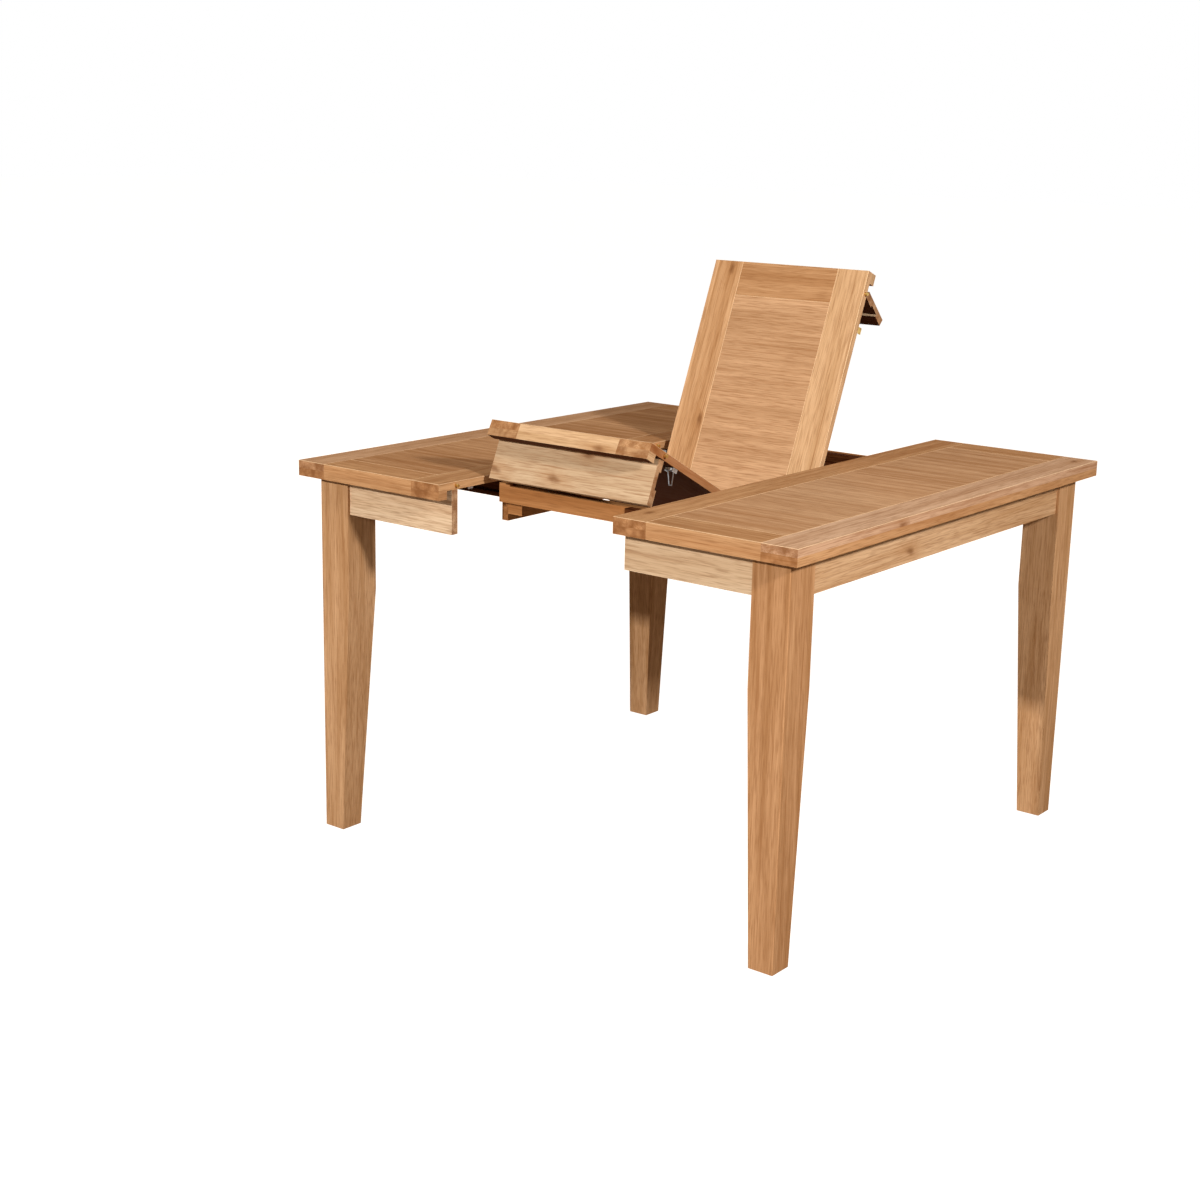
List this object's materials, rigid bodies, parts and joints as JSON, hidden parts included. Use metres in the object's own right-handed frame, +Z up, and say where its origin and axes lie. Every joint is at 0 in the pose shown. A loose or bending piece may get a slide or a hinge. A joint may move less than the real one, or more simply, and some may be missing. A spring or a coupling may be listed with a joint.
{
  "type": "extending table",
  "caption": "Counter-height wooden table whose two halves slide apart over a carrier with a butterfly leaf that folds on centre hinges, with apron flaps and tapered legs.",
  "frame": {"origin": "centre of the footprint on the floor, midway between the two halves", "axes": "+Z up, +X the way the right half pulls out, +Y along the leaf towards its rear half"},
  "size_m": [1.39, 1.37, 1.3649],
  "materials": {
    "top_wood": "satin lacquer",
    "leg_wood": "satin lacquer",
    "frame_wood": "planed, stained",
    "brass": "satin",
    "steel": "zinc plated"
  },
  "bodies": {
    "carrier": {"carrier_front_rail": "frame_wood", "carrier_gussets": "frame_wood", "carrier_left_side_rail": "frame_wood", "carrier_rear_rail": "frame_wood", "carrier_right_side_rail": "frame_wood", "pivot_brackets": "steel"},
    "left_half": {"left_alignment_pins": "brass", "left_catch_plates": "steel", "left_front_apron": "leg_wood", "left_front_board": "top_wood", "left_front_leg": "leg_wood", "left_front_runner": "frame_wood", "left_inner_board": "top_wood", "left_lip_strips": "top_wood", "left_outer_apron": "leg_wood", "left_outer_board": "top_wood", "left_panel": "top_wood", "left_rear_apron": "leg_wood", "left_rear_board": "top_wood", "left_rear_leg": "leg_wood", "left_rear_runner": "frame_wood"},
    "right_half": {"right_catch_plates": "steel", "right_front_apron": "leg_wood", "right_front_board": "top_wood", "right_front_leg": "leg_wood", "right_front_runner": "frame_wood", "right_inner_board": "top_wood", "right_lip_strips": "top_wood", "right_outer_apron": "leg_wood", "right_outer_board": "top_wood", "right_panel": "top_wood", "right_rear_apron": "leg_wood", "right_rear_board": "top_wood", "right_rear_leg": "leg_wood", "right_rear_runner": "frame_wood"},
    "rear_leaf": {"leaf_hinges_rear_side": "brass", "pivot_blocks": "frame_wood", "rear_flap_hinges_leaf_side": "brass", "rear_leaf_end_board": "top_wood", "rear_leaf_hooks": "brass", "rear_leaf_left_board": "top_wood", "rear_leaf_lip_strip": "top_wood", "rear_leaf_panel": "top_wood", "rear_leaf_pins": "brass", "rear_leaf_right_board": "top_wood"},
    "front_leaf": {"clasp_bases": "steel", "front_flap_hinges_leaf_side": "brass", "front_leaf_end_board": "top_wood", "front_leaf_left_board": "top_wood", "front_leaf_lip_strip": "top_wood", "front_leaf_panel": "top_wood", "front_leaf_pins": "brass", "front_leaf_right_board": "top_wood", "leaf_hinges_front_side": "brass"},
    "front_flap": {"front_flap": "leg_wood", "front_flap_hinges_flap_side": "brass"},
    "rear_flap": {"rear_flap": "leg_wood", "rear_flap_hinges_flap_side": "brass"},
    "left_bail": {"left_bail": "steel"},
    "right_bail": {"right_bail": "steel"}
  },
  "joints": [
    {"name": "left_slide", "type": "slide", "parent": "carrier", "child": "left_half", "axis": [-1, 0, 0], "range_m": [-0.0195, 0]},
    {"name": "right_slide", "type": "slide", "parent": "carrier", "child": "right_half", "axis": [1, 0, 0], "range_m": [-0.0195, 0]},
    {"name": "leaf_swing", "type": "hinge", "parent": "carrier", "child": "rear_leaf", "pos_m": [0, 0.175, 0.878], "axis": [1, 0, 0], "range_deg": [-68.3, 58.5]},
    {"name": "leaf_fold", "type": "hinge", "parent": "rear_leaf", "child": "front_leaf", "pos_m": [0, 0.07685, 0.72871], "axis": [1, 0, 0], "range_deg": [-82.15, 95.91]},
    {"name": "front_flap", "type": "hinge", "parent": "front_leaf", "child": "front_flap", "pos_m": [0, -0.48224, 0.99708], "axis": [1, 0, 0], "range_deg": [-5, 76]},
    {"name": "rear_flap", "type": "hinge", "parent": "rear_leaf", "child": "rear_flap", "pos_m": [0, 0.32571, 1.29675], "axis": [-1, 0, 0], "range_deg": [-24, 54]},
    {"name": "left_bail_swing", "type": "hinge", "parent": "front_leaf", "child": "left_bail", "pos_m": [-0.213, -0.44375, 0.97402], "axis": [1, 0, 0], "range_deg": [-3, 45.6]},
    {"name": "right_bail_swing", "type": "hinge", "parent": "front_leaf", "child": "right_bail", "pos_m": [0.213, -0.44375, 0.97402], "axis": [1, 0, 0], "range_deg": [-3, 45.6]}
  ],
  "couplings": [
    {"joint": "leaf_fold", "follows": "leaf_swing", "ratio": -1.4041},
    {"joint": "left_bail_swing", "follows": "front_flap", "ratio": 0.6},
    {"joint": "right_bail_swing", "follows": "front_flap", "ratio": 0.6}
  ]
}
